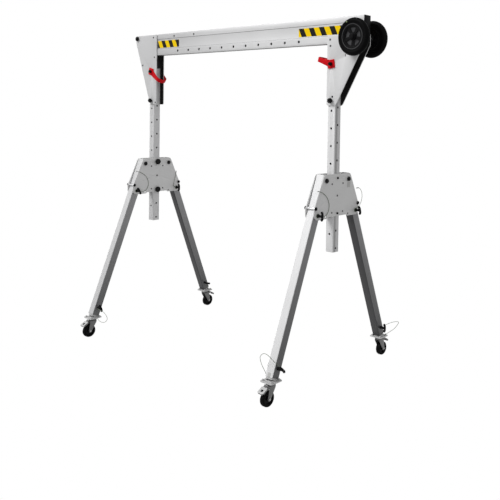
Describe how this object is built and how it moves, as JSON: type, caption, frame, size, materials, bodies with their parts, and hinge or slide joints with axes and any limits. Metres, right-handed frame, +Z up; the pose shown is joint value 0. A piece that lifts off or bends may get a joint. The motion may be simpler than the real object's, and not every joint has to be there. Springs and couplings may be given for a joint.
{
  "type": "portable gantry crane",
  "caption": "Portable aluminium gantry crane: trolley-track beam on height-adjustable A-frames with folding legs, braked castors and large transport wheels.",
  "frame": {"origin": "on the ground, under the middle of the bounding box", "axes": "+Z up, +X along the beam towards the transport wheels, +Y across the beam, front at -Y"},
  "size_m": [2.5692, 1.3596, 2.4694],
  "materials": {
    "aluminium": "mill finish",
    "plate": "brushed",
    "steel": "turned",
    "zinc": "zinc plated",
    "black_plastic": "moulded",
    "rubber": "matt",
    "red": "powder coat",
    "cord": "stranded"
  },
  "bodies": {
    "frame": {"beam": "aluminium", "wheel_axle": "steel", "mast_left": "aluminium", "end_plate_left_front": "aluminium", "end_plate_left_rear": "aluminium", "mast_right": "aluminium", "end_plate_right_front": "aluminium", "end_plate_right_rear": "aluminium"},
    "transport_wheel_front": {"transport_wheel_front": "rubber"},
    "transport_wheel_rear": {"transport_wheel_rear": "rubber"},
    "hub_left": {"hub_plate_left_studs": "plate", "hub_plate_left_plain": "plate", "guide_left": "plate", "leg_bolt_left_front": "black_plastic", "lanyard_left_front": "cord", "leg_bolt_left_rear": "black_plastic", "lanyard_left_rear": "cord"},
    "plate_pin_left": {"plate_pin_left": "black_plastic"},
    "lever_left": {"lever_left": "red"},
    "mast_pin_left_upper": {"mast_pin_left_upper": "black_plastic"},
    "mast_pin_left_lower": {"mast_pin_left_lower": "black_plastic"},
    "leg_left_front": {"leg_left_front": "aluminium", "foot_left_front": "zinc"},
    "leg_pin_left_front": {"leg_pin_left_front": "black_plastic"},
    "foot_pin_left_front": {"foot_pin_left_front": "black_plastic"},
    "castor_fork_left_front": {"castor_fork_left_front": "zinc"},
    "castor_wheel_left_front": {"castor_wheel_left_front": "rubber"},
    "brake_pedal_left_front": {"brake_pedal_left_front": "zinc"},
    "leg_left_rear": {"leg_left_rear": "aluminium", "foot_left_rear": "zinc"},
    "leg_pin_left_rear": {"leg_pin_left_rear": "black_plastic"},
    "foot_pin_left_rear": {"foot_pin_left_rear": "black_plastic"},
    "castor_fork_left_rear": {"castor_fork_left_rear": "zinc"},
    "castor_wheel_left_rear": {"castor_wheel_left_rear": "rubber"},
    "brake_pedal_left_rear": {"brake_pedal_left_rear": "zinc"},
    "hub_right": {"hub_plate_right_studs": "plate", "hub_plate_right_plain": "plate", "guide_right": "plate", "leg_bolt_right_front": "black_plastic", "lanyard_right_front": "cord", "leg_bolt_right_rear": "black_plastic", "lanyard_right_rear": "cord"},
    "plate_pin_right": {"plate_pin_right": "black_plastic"},
    "lever_right": {"lever_right": "red"},
    "mast_pin_right_upper": {"mast_pin_right_upper": "black_plastic"},
    "mast_pin_right_lower": {"mast_pin_right_lower": "black_plastic"},
    "leg_right_front": {"leg_right_front": "aluminium", "foot_right_front": "zinc"},
    "leg_pin_right_front": {"leg_pin_right_front": "black_plastic"},
    "foot_pin_right_front": {"foot_pin_right_front": "black_plastic"},
    "castor_fork_right_front": {"castor_fork_right_front": "zinc"},
    "castor_wheel_right_front": {"castor_wheel_right_front": "rubber"},
    "brake_pedal_right_front": {"brake_pedal_right_front": "zinc"},
    "leg_right_rear": {"leg_right_rear": "aluminium", "foot_right_rear": "zinc"},
    "leg_pin_right_rear": {"leg_pin_right_rear": "black_plastic"},
    "foot_pin_right_rear": {"foot_pin_right_rear": "black_plastic"},
    "castor_fork_right_rear": {"castor_fork_right_rear": "zinc"},
    "castor_wheel_right_rear": {"castor_wheel_right_rear": "rubber"},
    "brake_pedal_right_rear": {"brake_pedal_right_rear": "zinc"}
  },
  "joints": [
    {"name": "transport_wheel_front_spin", "type": "hinge", "parent": "frame", "child": "transport_wheel_front", "pos_m": [1.1606, -0.0996, 2.3214], "axis": [0, 1, 0], "continuous": true},
    {"name": "transport_wheel_rear_spin", "type": "hinge", "parent": "frame", "child": "transport_wheel_rear", "pos_m": [1.1606, 0.0996, 2.3214], "axis": [0, 1, 0], "continuous": true},
    {"name": "hub_left_height", "type": "slide", "parent": "frame", "child": "hub_left", "axis": [0, 0, 1], "range_m": [-0.36, 0.36]},
    {"name": "plate_pin_left_pull", "type": "slide", "parent": "frame", "child": "plate_pin_left", "axis": [0, -1, 0], "range_m": [0, 0.095]},
    {"name": "lever_left_turn", "type": "hinge", "parent": "frame", "child": "lever_left", "pos_m": [-1.0656, 0, 2.156], "axis": [0, -1, 0], "range_deg": [0, 50]},
    {"name": "mast_pin_left_upper_pull", "type": "slide", "parent": "hub_left", "child": "mast_pin_left_upper", "axis": [1, 0, 0], "range_m": [0, 0.1]},
    {"name": "mast_pin_left_lower_pull", "type": "slide", "parent": "hub_left", "child": "mast_pin_left_lower", "axis": [1, 0, 0], "range_m": [0, 0.1]},
    {"name": "leg_left_front_fold", "type": "hinge", "parent": "hub_left", "child": "leg_left_front", "pos_m": [-1.0656, -0.1198, 1.3713], "axis": [1, 0, 0], "range_deg": [0, 20.8], "deforming": ["lanyard_left_front"]},
    {"name": "leg_pin_left_front_pull", "type": "slide", "parent": "leg_left_front", "child": "leg_pin_left_front", "axis": [1, 0, 0], "range_m": [0, 0.1]},
    {"name": "foot_pin_left_front_pull", "type": "slide", "parent": "leg_left_front", "child": "foot_pin_left_front", "axis": [1, 0, 0], "range_m": [0, 0.1]},
    {"name": "castor_fork_left_front_swivel", "type": "hinge", "parent": "leg_left_front", "child": "castor_fork_left_front", "pos_m": [-1.0656, -0.58183, 0.147], "axis": [0, 0, 1], "continuous": true},
    {"name": "castor_wheel_left_front_spin", "type": "hinge", "parent": "castor_fork_left_front", "child": "castor_wheel_left_front", "pos_m": [-1.0656, -0.61583, 0.05], "axis": [1, 0, 0], "continuous": true},
    {"name": "brake_pedal_left_front_press", "type": "hinge", "parent": "castor_fork_left_front", "child": "brake_pedal_left_front", "pos_m": [-1.0656, -0.62333, 0.1327], "axis": [1, 0, 0], "range_deg": [0, 10]},
    {"name": "leg_left_rear_fold", "type": "hinge", "parent": "hub_left", "child": "leg_left_rear", "pos_m": [-1.0656, 0.1198, 1.3713], "axis": [-1, 0, 0], "range_deg": [0, 20.8], "deforming": ["lanyard_left_rear"]},
    {"name": "leg_pin_left_rear_pull", "type": "slide", "parent": "leg_left_rear", "child": "leg_pin_left_rear", "axis": [1, 0, 0], "range_m": [0, 0.1]},
    {"name": "foot_pin_left_rear_pull", "type": "slide", "parent": "leg_left_rear", "child": "foot_pin_left_rear", "axis": [1, 0, 0], "range_m": [0, 0.1]},
    {"name": "castor_fork_left_rear_swivel", "type": "hinge", "parent": "leg_left_rear", "child": "castor_fork_left_rear", "pos_m": [-1.0656, 0.58183, 0.147], "axis": [0, 0, 1], "continuous": true},
    {"name": "castor_wheel_left_rear_spin", "type": "hinge", "parent": "castor_fork_left_rear", "child": "castor_wheel_left_rear", "pos_m": [-1.0656, 0.61583, 0.05], "axis": [1, 0, 0], "continuous": true},
    {"name": "brake_pedal_left_rear_press", "type": "hinge", "parent": "castor_fork_left_rear", "child": "brake_pedal_left_rear", "pos_m": [-1.0656, 0.62333, 0.1327], "axis": [-1, 0, 0], "range_deg": [0, 10]},
    {"name": "hub_right_height", "type": "slide", "parent": "frame", "child": "hub_right", "axis": [0, 0, 1], "range_m": [-0.36, 0.36]},
    {"name": "plate_pin_right_pull", "type": "slide", "parent": "frame", "child": "plate_pin_right", "axis": [0, -1, 0], "range_m": [0, 0.095]},
    {"name": "lever_right_turn", "type": "hinge", "parent": "frame", "child": "lever_right", "pos_m": [0.9284, 0, 2.156], "axis": [0, -1, 0], "range_deg": [0, 50]},
    {"name": "mast_pin_right_upper_pull", "type": "slide", "parent": "hub_right", "child": "mast_pin_right_upper", "axis": [-1, 0, 0], "range_m": [0, 0.1]},
    {"name": "mast_pin_right_lower_pull", "type": "slide", "parent": "hub_right", "child": "mast_pin_right_lower", "axis": [-1, 0, 0], "range_m": [0, 0.1]},
    {"name": "leg_right_front_fold", "type": "hinge", "parent": "hub_right", "child": "leg_right_front", "pos_m": [0.9284, -0.1198, 1.3713], "axis": [1, 0, 0], "range_deg": [0, 20.8], "deforming": ["lanyard_right_front"]},
    {"name": "leg_pin_right_front_pull", "type": "slide", "parent": "leg_right_front", "child": "leg_pin_right_front", "axis": [1, 0, 0], "range_m": [0, 0.1]},
    {"name": "foot_pin_right_front_pull", "type": "slide", "parent": "leg_right_front", "child": "foot_pin_right_front", "axis": [1, 0, 0], "range_m": [0, 0.1]},
    {"name": "castor_fork_right_front_swivel", "type": "hinge", "parent": "leg_right_front", "child": "castor_fork_right_front", "pos_m": [0.9284, -0.58183, 0.147], "axis": [0, 0, 1], "continuous": true},
    {"name": "castor_wheel_right_front_spin", "type": "hinge", "parent": "castor_fork_right_front", "child": "castor_wheel_right_front", "pos_m": [0.9284, -0.61583, 0.05], "axis": [1, 0, 0], "continuous": true},
    {"name": "brake_pedal_right_front_press", "type": "hinge", "parent": "castor_fork_right_front", "child": "brake_pedal_right_front", "pos_m": [0.9284, -0.62333, 0.1327], "axis": [1, 0, 0], "range_deg": [0, 10]},
    {"name": "leg_right_rear_fold", "type": "hinge", "parent": "hub_right", "child": "leg_right_rear", "pos_m": [0.9284, 0.1198, 1.3713], "axis": [-1, 0, 0], "range_deg": [0, 20.8], "deforming": ["lanyard_right_rear"]},
    {"name": "leg_pin_right_rear_pull", "type": "slide", "parent": "leg_right_rear", "child": "leg_pin_right_rear", "axis": [1, 0, 0], "range_m": [0, 0.1]},
    {"name": "foot_pin_right_rear_pull", "type": "slide", "parent": "leg_right_rear", "child": "foot_pin_right_rear", "axis": [1, 0, 0], "range_m": [0, 0.1]},
    {"name": "castor_fork_right_rear_swivel", "type": "hinge", "parent": "leg_right_rear", "child": "castor_fork_right_rear", "pos_m": [0.9284, 0.58183, 0.147], "axis": [0, 0, 1], "continuous": true},
    {"name": "castor_wheel_right_rear_spin", "type": "hinge", "parent": "castor_fork_right_rear", "child": "castor_wheel_right_rear", "pos_m": [0.9284, 0.61583, 0.05], "axis": [1, 0, 0], "continuous": true},
    {"name": "brake_pedal_right_rear_press", "type": "hinge", "parent": "castor_fork_right_rear", "child": "brake_pedal_right_rear", "pos_m": [0.9284, 0.62333, 0.1327], "axis": [-1, 0, 0], "range_deg": [0, 10]}
  ]
}
